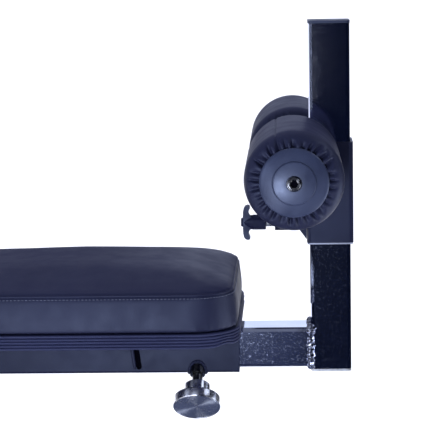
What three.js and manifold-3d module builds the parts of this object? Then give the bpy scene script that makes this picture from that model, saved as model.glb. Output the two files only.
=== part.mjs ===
// Adjustable weight bench with a sliding leg hold-down, in millimetres, +Z up.
// The bench runs along X: leg hold-down at +X, backrest at -X. Y = 0 is its middle plane.
import * as THREE from 'three';
import { mergeVertices } from 'three/addons/utils/BufferGeometryUtils.js';
import Module from 'manifold-3d';

const wasm = await Module();
wasm.setup();

// ---- driving dimensions -------------------------------------------------------------------
const gap = 0.3;              // air between two pieces that touch
const cornerSteps = 1;        // curve steps of a tube's corner, two facets each

// heights and stations along X, measured from the middle of the post
const padBottom = 380;
const padTop = 457.5;
const boardThick = 16;
const padWidth = 305;
const padCorner = 55;
const seatFront = -110;
const seatLength = 400;
const hingeX = -528;
const hingeZ = 394;
const backFront = hingeX - 60;
const backLength = 800;

// main beam, square tube
const beamSize = 60;
const beamWall = 3.7;
const beamFront = -114;
const beamBack = -840;
const beamBottom = padBottom - beamSize;
const beamMiddle = padBottom - beamSize / 2;

// leg hold-down tubes
const tubeSize = 50;
const tubeWall = 3;
const slideTop = 375;
const slideInside = 250;
const postTop = 753.3;
const postBottom = 319.9;
const capThick = 3.3;

// sleeve, axle and rollers
const sleeveSize = 57;
const sleeveWall = 2.7;
const sleeveBottom = 482;
const sleeveTop = 606;
const pinZ = 504.4;
const holePitch = 20;
const axleX = -44.3;
const axleZ = 587;
const axleRadius = 15.4;
const axleHalf = 249;
const rollerRadius = 55.7;
const rollerInner = 37;
const rollerOuter = 250;

// base
const frontFootX = -372;
const rearFootX = -1150;
const footWide = 60;
const footTall = 40;
const footLift = 7;
const footTop = footLift + footTall;
const frontFootHalf = 260;
const rearFootHalf = 220;
const footPlugOut = 28;
const wheelRadius = 28;
const wheelX = frontFootX + footWide / 2 + 34;
const wheelZ = wheelRadius + 3;
const wheelPlateY = 190;

// backrest frame and its angle lock
const railInner = 40.3;
const railWide = 40;
const railTall = 25;
const railFront = backFront - 2;
const railBack = -1330;
const plateInner = 33;
const plateThick = 6;
const sectorRadius = 168;
const lockRadius = 150;
const lockDrop = 62;
const lockStep = 12.5;
const lockCount = 7;
const lockPinRadius = 6;
const lockAngle = 180 + THREE.MathUtils.radToDeg(Math.asin(lockDrop / lockRadius));
const lockX = hingeX + lockRadius * Math.cos(THREE.MathUtils.degToRad(lockAngle));
const lockZ = hingeZ - lockDrop;

// clamp screw on the beam's lower edge, along a diagonal
const clampX = -166.2;
const clampDirection = new THREE.Vector3(0, -1, -1).normalize();
const clampCorner = new THREE.Vector3(clampX, -beamSize / 2, beamBottom);

// ---- finishes -------------------------------------------------------------------------------
const finishes = {
  blackPaint: [0x15161c, 0.42, 0.2],
  chrome: [0xb9bccb, 0.12, 1.0],
  steel: [0xa9abb4, 0.32, 1.0],
  darkSteel: [0x4a4b52, 0.4, 0.9],
  vinyl: [0x14151d, 0.5, 0.0],
  plastic: [0x131419, 0.38, 0.0],
  rubber: [0x17171a, 0.85, 0.0],
};

const bench = new THREE.Group();

function finish(name) {
  const [color, roughness, metalness] = finishes[name];
  return new THREE.MeshStandardMaterial({ color, roughness, metalness });
}

function add(name, geometry, finishName, parent = bench) {
  const mesh = new THREE.Mesh(geometry, finish(finishName));
  mesh.name = name;
  parent.add(mesh);
  return mesh;
}

// ---- solids: closed meshes, joined and cut by manifold-3d --------------------------------------
function solid(geometry) {
  const bare = geometry.clone();
  bare.deleteAttribute('normal');
  bare.deleteAttribute('uv');
  const merged = mergeVertices(bare, 1e-4);
  const place = merged.getAttribute('position');
  const index = merged.getIndex().array;
  const faces = [];
  let volume = 0;
  const corner = [new THREE.Vector3(), new THREE.Vector3(), new THREE.Vector3()];
  for (let i = 0; i < index.length; i += 3) {
    const [a, b, c] = [index[i], index[i + 1], index[i + 2]];
    if (a === b || b === c || a === c) continue;
    [a, b, c].forEach((v, k) => corner[k].fromBufferAttribute(place, v));
    volume += corner[0].dot(corner[1].clone().cross(corner[2]));
    faces.push(a, b, c);
  }
  if (volume < 0) faces.reverse();
  const vertProperties = new Float32Array(place.array);
  const triVerts = new Uint32Array(faces);
  return new wasm.Manifold(new wasm.Mesh({ numProp: 3, vertProperties, triVerts }));
}

function geometryOf(body) {
  const mesh = body.getMesh();
  const geometry = new THREE.BufferGeometry();
  geometry.setAttribute('position', new THREE.BufferAttribute(mesh.vertProperties.slice(), 3));
  geometry.setIndex(new THREE.BufferAttribute(mesh.triVerts.slice(), 1));
  return geometry;
}

function cut(base, ...tools) {
  return geometryOf(tools.reduce((left, tool) => left.subtract(solid(tool)), solid(base)));
}

function join(...pieces) {
  return geometryOf(pieces.slice(1).reduce((sum, piece) => sum.add(solid(piece)), solid(pieces[0])));
}

// ---- shapes -----------------------------------------------------------------------------------
function box(x, y, z) {
  const geometry = new THREE.BoxGeometry(x[1] - x[0], y[1] - y[0], z[1] - z[0]);
  return geometry.translate((x[0] + x[1]) / 2, (y[0] + y[1]) / 2, (z[0] + z[1]) / 2);
}

// A rectangle with round corners, centred on (u, v).
function roundRect(width, height, radius, u = 0, v = 0, outline = new THREE.Shape()) {
  const [a, b] = [width / 2 - radius, height / 2 - radius];
  outline.moveTo(u + a, v - b - radius);
  outline.absarc(u + a, v - b, radius, -Math.PI / 2, 0);
  outline.absarc(u + a, v + b, radius, 0, Math.PI / 2);
  outline.absarc(u - a, v + b, radius, Math.PI / 2, Math.PI);
  outline.absarc(u - a, v - b, radius, Math.PI, 1.5 * Math.PI);
  return outline;
}

function circle(radius, u = 0, v = 0, outline = new THREE.Shape()) {
  outline.absarc(u, v, radius, 0, 2 * Math.PI);
  return outline;
}

function extrude(shape, depth, curveSegments = cornerSteps) {
  return new THREE.ExtrudeGeometry(shape, { depth, curveSegments, bevelEnabled: false });
}

// Turns an extrusion so that its section lies across the named axis and its depth runs along it.
function alongX(geometry, from) {
  const basis = new THREE.Matrix4().makeBasis(
    new THREE.Vector3(0, 1, 0), new THREE.Vector3(0, 0, 1), new THREE.Vector3(1, 0, 0));
  return geometry.applyMatrix4(basis).translate(from, 0, 0);
}

// The section's u runs along X and its v along Z; the depth runs from high Y down.
function sideways(geometry, highY) {
  const basis = new THREE.Matrix4().makeBasis(
    new THREE.Vector3(1, 0, 0), new THREE.Vector3(0, 0, 1), new THREE.Vector3(0, -1, 0));
  return geometry.applyMatrix4(basis).translate(0, highY, 0);
}

function hollow(width, height, wall, radius, u = 0, v = 0) {
  const outline = roundRect(width, height, radius, u, v);
  const inside = roundRect(width - 2 * wall, height - 2 * wall, radius - wall / 2, u, v, new THREE.Path());
  outline.holes.push(inside);
  return outline;
}

// A turned piece: points are [radius, distance along the axis] from origin towards direction.
function turned(points, origin, direction, segments = 16) {
  const profile = points.map(([r, d]) => new THREE.Vector2(r, d));
  const geometry = new THREE.LatheGeometry(profile, segments);
  const turn = new THREE.Quaternion().setFromUnitVectors(new THREE.Vector3(0, 1, 0), direction);
  return geometry.applyQuaternion(turn).translate(origin.x, origin.y, origin.z);
}

function rod(radius, origin, direction, from, to, segments = 16) {
  return turned([[0, from], [radius, from], [radius, to], [0, to]], origin, direction, segments);
}

function ring(inner, outer, from, to) {
  return [[inner, from], [outer, from], [outer, to], [inner, to], [inner, from]];
}

// Points of a quarter round, from one angle to another, for a turned profile.
function bend(centreR, centreD, radius, fromDeg, toDeg, steps) {
  return Array.from({ length: steps + 1 }, (_, i) => {
    const angle = THREE.MathUtils.degToRad(fromDeg + ((toDeg - fromDeg) * i) / steps);
    return [centreR + radius * Math.cos(angle), centreD + radius * Math.sin(angle)];
  });
}

const point = (x, y, z) => new THREE.Vector3(x, y, z);
const axisX = point(1, 0, 0);
const axisZ = point(0, 0, 1);
const outward = (side) => point(0, side, 0);
const sides = [['left', -1], ['right', 1]];
const span = (side, near, far) => (side < 0 ? [-far, -near] : [near, far]);

// ---- main beam and its fittings -------------------------------------------------------------
function mainBeam() {
  const tube = alongX(
    extrude(hollow(beamSize, beamSize, beamWall, 3, 0, beamMiddle), beamFront - beamBack), beamBack);
  const slotTall = 45.5;
  const slotWide = 7;
  const slotTilt = THREE.MathUtils.degToRad(7.2);
  const slotMiddle = point(-241.5, -beamSize / 2, 347.3);
  const slot = sideways(extrude(roundRect(slotWide, slotTall, slotWide / 2), 4 * beamWall), 2 * beamWall)
    .rotateY(-slotTilt)
    .translate(slotMiddle.x, slotMiddle.y, slotMiddle.z);
  const lockHole = rod(lockPinRadius + 0.6, point(lockX, 0, lockZ), outward(1), -beamSize, beamSize);
  const clampHole = rod(5.5, clampCorner, clampDirection, -20, 10);
  add('main_beam', cut(tube, slot, lockHole, clampHole), 'blackPaint');

  const plugInset = beamWall + 0.5;
  add('beam_rear_cap', join(
    box([beamBack - 4, beamBack - gap], [-beamSize / 2, beamSize / 2], [beamBottom, padBottom - gap]),
    box([beamBack - 1, beamBack + 18], [-beamSize / 2 + plugInset, beamSize / 2 - plugInset],
      [beamBottom + plugInset, padBottom - plugInset])), 'plastic');
}

// A leg is a slanted tube trimmed level under the beam and on top of its foot.
function leg(name, topX, footX) {
  const [low, high] = [footTop + gap, beamBottom - gap];
  const slope = Math.atan2(high - low, topX - footX);
  const overrun = 80;
  const length = Math.hypot(topX - footX, high - low) + 2 * overrun;
  const tube = alongX(extrude(hollow(beamSize, beamSize, beamWall, 3), length), -overrun)
    .rotateY(-slope)
    .translate(footX, 0, low);
  const wide = [-400, 400];
  const far = [Math.min(topX, footX) - 400, Math.max(topX, footX) + 400];
  add(name, cut(tube, box(far, wide, [high, high + 400]), box(far, wide, [low - 400, low])), 'blackPaint');
}

function foot(name, x, half) {
  const section = hollow(footTall, footWide, beamWall, 3);
  const tube = extrude(section, 2 * half)
    .applyMatrix4(new THREE.Matrix4().makeBasis(axisZ, axisX, point(0, 1, 0)))
    .translate(x, -half, footLift + footTall / 2);
  add(name, tube, 'blackPaint');
  const inset = beamWall + 0.6;
  for (const [sideName, side] of sides) {
    const shoe = box([x - footWide / 2 - 3, x + footWide / 2 + 3],
      span(side, half + gap, half + footPlugOut), [0, footTop + 3]);
    const plug = box([x - footWide / 2 + inset, x + footWide / 2 - inset],
      span(side, half - 22, half + 4), [footLift + inset, footTop - inset]);
    add(`${name}_cap_${sideName}`, join(shoe, plug), 'rubber');
  }
}

function wheels() {
  const plateX = [frontFootX + footWide / 2 + gap, wheelX + 14];
  const wheelWide = 22;
  for (const [sideName, side] of sides) {
    const hub = point(wheelX, side * wheelPlateY, wheelZ);
    const stub = turned([[0, 2], [6, 2], [6, 6 + wheelWide + 1], [10, 6 + wheelWide + 1],
      [10, 6 + wheelWide + 5], [0, 6 + wheelWide + 5]], hub, outward(side));
    const plate = box(plateX, span(side, wheelPlateY, wheelPlateY + 5), [15, footTop - 2]);
    add(`wheel_bracket_${sideName}`, join(plate, stub), 'blackPaint');
    const rim = [[6.4, 6], [24, 6], ...bend(24, 10, 4, -90, 0, 2), ...bend(24, 2 + wheelWide, 4, 0, 90, 2),
      [6.4, 6 + wheelWide], [6.4, 6]];
    add(`wheel_${sideName}`, turned(rim, hub, outward(side), 20), 'rubber');
  }
}

function liftHandle() {
  const back = rearFootX - footWide / 2 - gap;
  const [half, reach, turn] = [80, 62, 24];
  const height = footLift + footTall / 2;
  const far = back - reach;
  const path = new THREE.CurvePath();
  const corner = (a, b, c) => new THREE.QuadraticBezierCurve3(a, b, c);
  const p = (x, y) => point(x, y, height);
  path.add(new THREE.LineCurve3(p(back, -half), p(far + turn, -half)));
  path.add(corner(p(far + turn, -half), p(far, -half), p(far, -half + turn)));
  path.add(new THREE.LineCurve3(p(far, -half + turn), p(far, half - turn)));
  path.add(corner(p(far, half - turn), p(far, half), p(far + turn, half)));
  path.add(new THREE.LineCurve3(p(far + turn, half), p(back, half)));
  const bar = new THREE.ExtrudeGeometry(circle(9), { steps: 20, curveSegments: 3, extrudePath: path });
  add('lift_handle', geometryOf(solid(bar)), 'chrome');
}

// ---- pads ---------------------------------------------------------------------------------------
// A pad is a soft cushion on a covered board with the same outline.
function pad(prefix, front, length, boltPlaces, parent) {
  const middle = front - length / 2;
  const boardBottom = padBottom + gap;
  const boardTop = boardBottom + boardThick;
  const outline = roundRect(length, padWidth, padCorner, middle, 0);
  const board = extrude(outline, boardThick, 3).translate(0, 0, boardBottom);
  const holes = boltPlaces.map(([x, y]) => rod(4.4, point(x, y, 0), axisZ, 370, boardTop - 4, 12));
  add(`${prefix}_board`, cut(board, ...holes), 'vinyl', parent);
  const edge = 9;
  const cushion = new THREE.ExtrudeGeometry(outline, {
    depth: padTop - boardTop - gap - 2 * edge,
    curveSegments: 3,
    bevelSize: edge,
    bevelThickness: edge,
    bevelOffset: -edge,
    bevelSegments: 2,
  }).translate(0, 0, boardTop + gap + edge);
  add(`${prefix}_cushion`, geometryOf(solid(cushion)), 'vinyl', parent);
}

function bolt(name, x, y, headTop) {
  const head = rod(6.5, point(x, y, 0), axisZ, headTop - 5, headTop, 6);
  const shank = rod(4, point(x, y, 0), axisZ, headTop - 1, padBottom + 12, 12);
  add(name, join(head, shank), 'steel');
}

function seat() {
  const boltX = [seatFront - 80, seatFront - 330];
  const boltY = 56;
  const places = boltX.flatMap((x) => [[x, -boltY], [x, boltY]]);
  pad('seat', seatFront, seatLength, places, bench);
  const flange = 4;
  const top = padBottom;
  const inner = beamSize / 2 + gap;
  const reach = [seatFront - 370, seatFront - 40];
  for (const [sideName, side] of sides) {
    const shelf = box(reach, span(side, inner, inner + 45), [top - flange, top]);
    const web = box(reach, span(side, inner, inner + flange), [top - 25, top - 1]);
    const holes = boltX.map((x) => rod(4.6, point(x, side * boltY, 0), axisZ, top - 20, top + 5, 12));
    add(`seat_angle_${sideName}`, cut(join(shelf, web), ...holes), 'blackPaint');
  }
  places.forEach(([x, y], i) => bolt(`seat_bolt_${i + 1}`, x, y, top - flange - gap));
}

// ---- backrest ----------------------------------------------------------------------------------
const polar = (radius, degrees) => {
  const angle = THREE.MathUtils.degToRad(degrees);
  return [radius * Math.cos(angle), radius * Math.sin(angle)];
};
const eyeRadius = 16;
const eyeHole = 8.6;
const plateTop = padBottom - hingeZ;

// Side plates in the X-Z plane, drawn around the hinge. The near one carries the lock holes.
function hingePlate(name, side, withSector) {
  const armBack = -195;
  const armLow = plateTop - railTall;
  const outline = new THREE.Shape();
  outline.absarc(0, 0, eyeRadius, THREE.MathUtils.degToRad(-30), THREE.MathUtils.degToRad(115));
  outline.lineTo(backFront - hingeX + 2, plateTop);
  outline.lineTo(armBack, plateTop);
  outline.lineTo(armBack, armLow);
  if (withSector) {
    const lastAngle = lockAngle + (lockCount - 1) * lockStep + 8;
    outline.lineTo(...polar(sectorRadius, 194));
    outline.absarc(0, 0, sectorRadius, THREE.MathUtils.degToRad(195), THREE.MathUtils.degToRad(lastAngle));
  } else {
    outline.lineTo(-60, armLow);
  }
  outline.closePath();
  outline.holes.push(circle(eyeHole, 0, 0, new THREE.Path()));
  if (withSector) {
    const window = new THREE.Path();
    const [inner, outer] = [48, 122];
    window.absarc(0, 0, outer, THREE.MathUtils.degToRad(212), THREE.MathUtils.degToRad(272));
    window.absarc(0, 0, inner, THREE.MathUtils.degToRad(265), THREE.MathUtils.degToRad(228), true);
    window.closePath();
    outline.holes.push(window);
    for (let i = 0; i < lockCount; i += 1) {
      const [u, v] = polar(lockRadius, lockAngle + i * lockStep);
      outline.holes.push(circle(lockPinRadius + 0.5, u, v, new THREE.Path()));
    }
  }
  const highY = side < 0 ? -plateInner : plateInner + plateThick;
  const plate = sideways(extrude(outline, plateThick, 5), highY).translate(hingeX, 0, hingeZ);
  add(name, geometryOf(solid(plate)), 'blackPaint');
}

function backrest() {
  const boltX = [backFront - 110, backFront - 620];
  const boltY = railInner + railWide / 2;
  const places = boltX.flatMap((x) => [[x, -boltY], [x, boltY]]);
  pad('back', backFront, backLength, places, bench);
  const railBottom = padBottom - railTall;
  for (const [sideName, side] of sides) {
    const middleY = side * (railInner + railWide / 2);
    const section = hollow(railWide, railTall, 2.2, 3, middleY, railBottom + railTall / 2);
    const tube = alongX(extrude(section, railFront - railBack), railBack);
    const holes = boltX.map((x) => rod(4.6, point(x, middleY, 0), axisZ, 340, 390, 12));
    add(`back_rail_${sideName}`, cut(tube, ...holes), 'blackPaint');
  }
  const crossHalf = railInner - gap;
  for (const [name, x] of [['back_cross_front', beamBack - 40], ['back_cross_rear', railBack + 40]]) {
    const section = hollow(railTall, railTall, 2.2, 3, x, railBottom + railTall / 2);
    add(name, sideways(extrude(section, 2 * crossHalf), crossHalf), 'blackPaint');
  }
  hingePlate('sector_plate', -1, true);
  hingePlate('hinge_arm', 1, false);
  places.forEach(([x, y], i) => bolt(`back_bolt_${i + 1}`, x, y, railBottom - gap));
}

function hinge() {
  const [earIn, earOut] = [21, 28];
  const ear = new THREE.Shape();
  ear.absarc(0, 0, eyeRadius - 1, 0, Math.PI);
  const low = padBottom + gap - hingeZ;
  const footHalf = 17;
  ear.lineTo(-footHalf, low);
  ear.lineTo(footHalf, low);
  ear.closePath();
  ear.holes.push(circle(eyeHole, 0, 0, new THREE.Path()));
  const ears = sides.map(([, side]) => sideways(extrude(ear, earOut - earIn, 6), side < 0 ? -earIn : earOut)
    .translate(hingeX, 0, hingeZ));
  const base = box([hingeX - footHalf, hingeX + footHalf], [-earOut, earOut],
    [padBottom + gap, padBottom + 4.5]);
  add('hinge_bracket', join(base, ...ears), 'blackPaint');
  const plateOuter = plateInner + plateThick;
  const [neck, end] = [plateOuter + 0.5, plateOuter + 6];
  add('hinge_pin', turned([[0, -end], [12, -end], [12, -neck], [8, -neck], [8, neck], [12, neck],
    [12, end], [0, end]], point(hingeX, 0, hingeZ), outward(1)), 'steel');
}

// The lock pin crosses the beam and enters the sector plate on the far side from its knob.
function angleLock() {
  const origin = point(lockX, 0, lockZ);
  const barrelEnd = 56;
  add('lock_barrel', turned(ring(lockPinRadius + 0.5, 11, beamSize / 2 + gap, barrelEnd),
    origin, outward(1)), 'darkSteel');
  const pinEnd = barrelEnd + 4;
  const tip = plateInner + plateThick + 3;
  add('lock_pin', turned([[0, -tip], [lockPinRadius - 1.5, -tip], [lockPinRadius, -tip + 2],
    [lockPinRadius, pinEnd], [0, pinEnd]], origin, outward(1)), 'steel');
  add('lock_knob', turned([[0, pinEnd + gap], [lockPinRadius + gap, pinEnd + gap],
    [lockPinRadius + gap, barrelEnd + 1], [10, barrelEnd + 1], [11, barrelEnd + 10], [17, barrelEnd + 15],
    [17, barrelEnd + 30], [14, barrelEnd + 34], [0, barrelEnd + 35]], origin, outward(1)), 'plastic');
}

// ---- clamp screw under the beam ------------------------------------------------------------------
function clamp() {
  const grown = beamSize / 2 + gap;
  const beamBlock = box([clampX - 40, clampX + 40], [-grown, grown], [beamBottom - gap, padBottom + gap]);
  const boss = turned(ring(5.5, 9.6, -8, 2.5), clampCorner, clampDirection);
  add('clamp_boss', cut(boss, beamBlock), 'steel');
  const [shoulder, knobStart, collarEnd, knobEnd] = [2.9, 17, 36.3, 49];
  const [stemRadius, collarRadius, knobRadius] = [6.4, 16, 29.2];
  add('clamp_screw', turned([[0, -8.4], [3.5, -8.4], [5, -6.5], [5, shoulder], [stemRadius, shoulder],
    [stemRadius, knobStart], [0, knobStart]], clampCorner, clampDirection), 'darkSteel');
  add('clamp_knob', turned([[0, knobStart + gap], [collarRadius - 1.5, knobStart + gap],
    [collarRadius, knobStart + 2], [collarRadius, collarEnd], [knobRadius - 1.5, collarEnd],
    [knobRadius, collarEnd + 1.5], [knobRadius, knobEnd - 1.5], [knobRadius - 1.5, knobEnd],
    [0, knobEnd]], clampCorner, clampDirection, 28), 'steel');
}

// ---- leg hold-down ------------------------------------------------------------------------------
function legHold() {
  const half = tubeSize / 2;
  const slideMiddle = slideTop - half;
  const slideBack = beamFront - slideInside;
  const joint = -half - gap;
  add('slide_tube', alongX(
    extrude(hollow(tubeSize, tubeSize, tubeWall, 4.5, 0, slideMiddle), joint - slideBack), slideBack), 'chrome');

  const [tubeLow, tubeHigh] = [postBottom + capThick - gap, postTop - capThick - gap];
  const tube = extrude(hollow(tubeSize, tubeSize, tubeWall, 4.5), tubeHigh - tubeLow).translate(0, 0, tubeLow);
  const holes = Array.from({ length: 7 }, (_, i) => pinZ + (i - 1) * holePitch)
    .map((z) => rod(6.5, point(0, 0, z), axisX, -half - 5, 0, 16));
  add('post_tube', cut(tube, ...holes), 'chrome');

  const plugHalf = half - tubeWall - 0.6;
  const slab = (size, z) => extrude(roundRect(size, size, 4), z[1] - z[0]).translate(0, 0, z[0]);
  const cap = (over, faceZ, plugZ) => join(slab(tubeSize + over, faceZ), slab(2 * plugHalf, plugZ));
  add('post_top_cap', cap(0.9, [tubeHigh + gap, postTop], [tubeHigh - 14, tubeHigh + 1]), 'plastic');
  add('post_bottom_cap', cap(0, [postBottom, tubeLow - gap], [tubeLow - 1, tubeLow + 10]), 'steel');

  const [beadBack, beadFront, proud] = [-half - 6.5, -half + 4.5, 3];
  const bead = box([beadBack, beadFront], [-half - proud, half + proud],
    [slideTop - tubeSize - 3.2, slideTop + 6]);
  const grown = half + gap;
  const hollowOfTube = box([beadBack - 5, joint], [-grown, grown], [slideTop - tubeSize - gap, slideTop + gap]);
  const hollowOfPost = box([joint, half], [-grown, grown], [postBottom, postTop]);
  add('weld_bead', cut(bead, hollowOfTube, hollowOfPost), 'chrome');
}

function sleeve() {
  const face = -sleeveSize / 2;
  const body = extrude(hollow(sleeveSize, sleeveSize, sleeveWall, 5), sleeveTop - sleeveBottom)
    .translate(0, 0, sleeveBottom);
  const hole = rod(6.5, point(0, 0, pinZ), axisX, face - 5, 0, 16);
  add('sleeve', cut(body, hole), 'blackPaint');

  const origin = point(0, 0, pinZ);
  const barrel = turned(ring(6.2, 10.5, face - 39.5, face - gap), origin, axisX);
  const web = new THREE.Shape();
  web.moveTo(face - gap, pinZ - 8);
  web.lineTo(face - gap, pinZ - 21.5);
  web.lineTo(face - 9, pinZ - 9.5);
  web.lineTo(face - 9, pinZ - 8);
  web.closePath();
  const webHalf = 5;
  add('pin_barrel', join(barrel, sideways(extrude(web, 2 * webHalf), webHalf)), 'blackPaint');

  const boreDepth = 26;
  const boreRadius = 5.3;
  add('axle_bar', turned([[0, -axleHalf + boreDepth], [boreRadius, -axleHalf + boreDepth],
    [boreRadius, -axleHalf], [axleRadius, -axleHalf], [axleRadius, axleHalf], [boreRadius, axleHalf],
    [boreRadius, axleHalf - boreDepth], [0, axleHalf - boreDepth]],
  point(axleX, 0, axleZ), outward(1)), 'blackPaint');

  for (const [sideName, side] of sides) {
    const centre = point(axleX, 0, axleZ);
    const headStart = rollerOuter + 11.4;
    const headEnd = headStart + 4.6;
    const shape = turned([[0, axleHalf - boreDepth + 1], [5, axleHalf - boreDepth + 1], [5, headStart],
      [7.3, headStart], [8.1, headStart + 0.8], [8.1, headEnd - 0.8], [7.3, headEnd], [0, headEnd]],
    centre, outward(side));
    const socket = rod(4.6, centre, outward(side), headEnd - 3.5, headEnd + 2, 6);
    add(`axle_bolt_${sideName}`, cut(shape, socket), 'steel');
  }
}

function pullPin() {
  const origin = point(0, 0, pinZ);
  const handleStart = -79;
  const boreEnd = handleStart - 13;
  add('pull_pin', turned([[0, boreEnd + gap], [5.5, boreEnd + gap], [5.5, -20.5], [4, -18.5], [0, -18.5]],
    origin, axisX), 'steel');
  const hub = turned([[0, -110], [5, -110], [6, -107.5], [6, -106], [8.5, -99], [9.5, -95],
    [9.5, handleStart - 1], [8.8, handleStart], [5.8, handleStart], [5.8, boreEnd], [0, boreEnd]],
  origin, axisX);
  // two wings that sweep back towards the hub at their tips
  const wing = new THREE.Shape();
  wing.moveTo(-107.6, -9);
  wing.lineTo(-107.6, 9);
  wing.bezierCurveTo(-107.6, 16, -106.5, 21.5, -101.5, 21.5);
  wing.bezierCurveTo(-98, 21.5, -98, 18.5, -99.5, 16.5);
  wing.bezierCurveTo(-101.5, 13, -100.5, 9, -97, 7.5);
  wing.lineTo(-97, -7.5);
  wing.bezierCurveTo(-100.5, -9, -101.5, -13, -99.5, -16.5);
  wing.bezierCurveTo(-98, -18.5, -98, -21.5, -101.5, -21.5);
  wing.bezierCurveTo(-106.5, -21.5, -107.6, -16, -107.6, -9);
  const wingHalf = 6;
  const wings = sideways(extrude(wing, 2 * wingHalf, 4), wingHalf).translate(0, 0, pinZ);
  const bore = rod(5.8, origin, axisX, boreEnd, handleStart + 1);
  add('pin_handle', cut(join(hub, wings), bore), 'plastic');
}

function rollers() {
  const centre = point(axleX, 0, axleZ);
  const bore = axleRadius + 0.6;
  const [endRound, innerRound] = [13, 9];
  for (const [sideName, side] of sides) {
    const padProfile = [[bore, rollerInner],
      ...bend(rollerRadius - innerRound, rollerInner + innerRound, innerRound, -90, 0, 3),
      ...bend(rollerRadius - endRound, rollerOuter - endRound, endRound, 0, 90, 4),
      [bore, rollerOuter], [bore, rollerInner]];
    add(`roller_pad_${sideName}`, turned(padProfile, centre, outward(side), 26), 'vinyl');
    const start = rollerOuter + gap;
    const capProfile = [[6, start], [38.5, start], [38.5, start + 3], [35, start + 6], [26, start + 8.2],
      [22.5, start + 10], [12, start + 10.6], [6, start + 10.6], [6, start]];
    add(`roller_cap_${sideName}`, turned(capProfile, centre, outward(side), 26), 'plastic');
  }
}

mainBeam();
leg('front_leg', -577, frontFootX);
leg('rear_leg', -775, rearFootX);
foot('front_foot', frontFootX, frontFootHalf);
foot('rear_foot', rearFootX, rearFootHalf);
wheels();
liftHandle();
seat();
backrest();
hinge();
angleLock();
clamp();
legHold();
sleeve();
pullPin();
rollers();

// The row frame has its origin under the middle of the whole bench.
const backEnd = backFront - backLength;
const frontEnd = sleeveSize / 2;
bench.position.x = -(backEnd + frontEnd) / 2;

export default bench;
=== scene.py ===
"""The looks of the adjustable weight bench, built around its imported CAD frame. All sizes are in metres."""
import math

import bmesh
import bpy
from mathutils import Matrix, Vector, noise
from mathutils.bvhtree import BVHTree


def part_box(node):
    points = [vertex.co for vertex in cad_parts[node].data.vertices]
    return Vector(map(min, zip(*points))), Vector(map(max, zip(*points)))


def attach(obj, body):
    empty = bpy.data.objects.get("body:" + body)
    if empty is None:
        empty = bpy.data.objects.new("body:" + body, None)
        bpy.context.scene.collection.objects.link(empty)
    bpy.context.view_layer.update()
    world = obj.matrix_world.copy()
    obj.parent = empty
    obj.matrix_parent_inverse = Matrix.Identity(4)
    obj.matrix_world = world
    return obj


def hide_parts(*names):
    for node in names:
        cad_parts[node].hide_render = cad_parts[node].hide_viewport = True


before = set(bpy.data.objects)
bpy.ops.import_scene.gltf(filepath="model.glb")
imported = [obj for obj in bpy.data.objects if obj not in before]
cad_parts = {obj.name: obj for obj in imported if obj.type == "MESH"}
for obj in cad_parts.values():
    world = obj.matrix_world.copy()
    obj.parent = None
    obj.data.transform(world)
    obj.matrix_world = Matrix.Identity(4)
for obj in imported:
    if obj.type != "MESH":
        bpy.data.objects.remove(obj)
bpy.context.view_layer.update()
MM = 0.001
COOL = (0.72, 0.80, 1.0, 1)      # the tint of sheen on dark pieces
X_AXIS, Y_AXIS, Z_AXIS = Vector((1, 0, 0)), Vector((0, 1, 0)), Vector((0, 0, 1))
SIDES = (("left", -1), ("right", 1))


# ---- materials -------------------------------------------------------------------------------
class Shader:
    """A node material that ends in one Principled BSDF."""

    def __init__(self, name, **sockets):
        self.material = bpy.data.materials.new(name)
        self.material.use_nodes = True
        self.tree = self.material.node_tree
        self.bsdf = self.tree.nodes["Principled BSDF"]
        for socket, value in sockets.items():
            self.bsdf.inputs[socket.replace("_", " ")].default_value = value
        self.place = self.node("TexCoord").outputs["Object"]
        self.normal = None

    def node(self, kind, **inputs):
        made = self.tree.nodes.new("ShaderNode" + kind)
        for name, value in inputs.items():
            made.inputs[name].default_value = value
        return made

    def link(self, source, target):
        self.tree.links.new(source, target)

    def noise(self, scale, detail=3.0, stretch=(1, 1, 1)):
        texture = self.node("TexNoise", Scale=scale, Detail=detail)
        mapping = self.node("Mapping", Scale=stretch)
        self.link(self.place, mapping.inputs["Vector"])
        self.link(mapping.outputs["Vector"], texture.inputs["Vector"])
        return texture.outputs["Fac"]

    def cells(self, scale):
        texture = self.node("TexVoronoi", Scale=scale)
        texture.feature = "DISTANCE_TO_EDGE"
        self.link(self.place, texture.inputs["Vector"])
        return texture.outputs["Distance"]

    def spread(self, value, low, high, socket, between=(0.35, 0.65)):
        """Sets a socket from a texture, running from low to high."""
        ramp = self.node("MapRange")
        ramp.inputs["From Min"].default_value, ramp.inputs["From Max"].default_value = between
        ramp.inputs["To Min"].default_value, ramp.inputs["To Max"].default_value = low, high
        self.link(value, ramp.inputs["Value"])
        self.link(ramp.outputs["Result"], self.bsdf.inputs[socket])

    def tint(self, value, first, second, between=(0.35, 0.65)):
        ramp = self.node("ValToRGB")
        ends = ramp.color_ramp.elements
        ends[0].position, ends[1].position = between
        ends[0].color, ends[1].color = (*first, 1), (*second, 1)
        self.link(value, ramp.inputs["Fac"])
        self.link(ramp.outputs["Color"], self.bsdf.inputs["Base Color"])

    def bump(self, height, strength, distance):
        made = self.node("Bump", Strength=strength, Distance=distance)
        self.link(height, made.inputs["Height"])
        if self.normal:
            self.link(self.normal, made.inputs["Normal"])
        self.normal = made.outputs["Normal"]
        self.link(self.normal, self.bsdf.inputs["Normal"])


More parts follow.
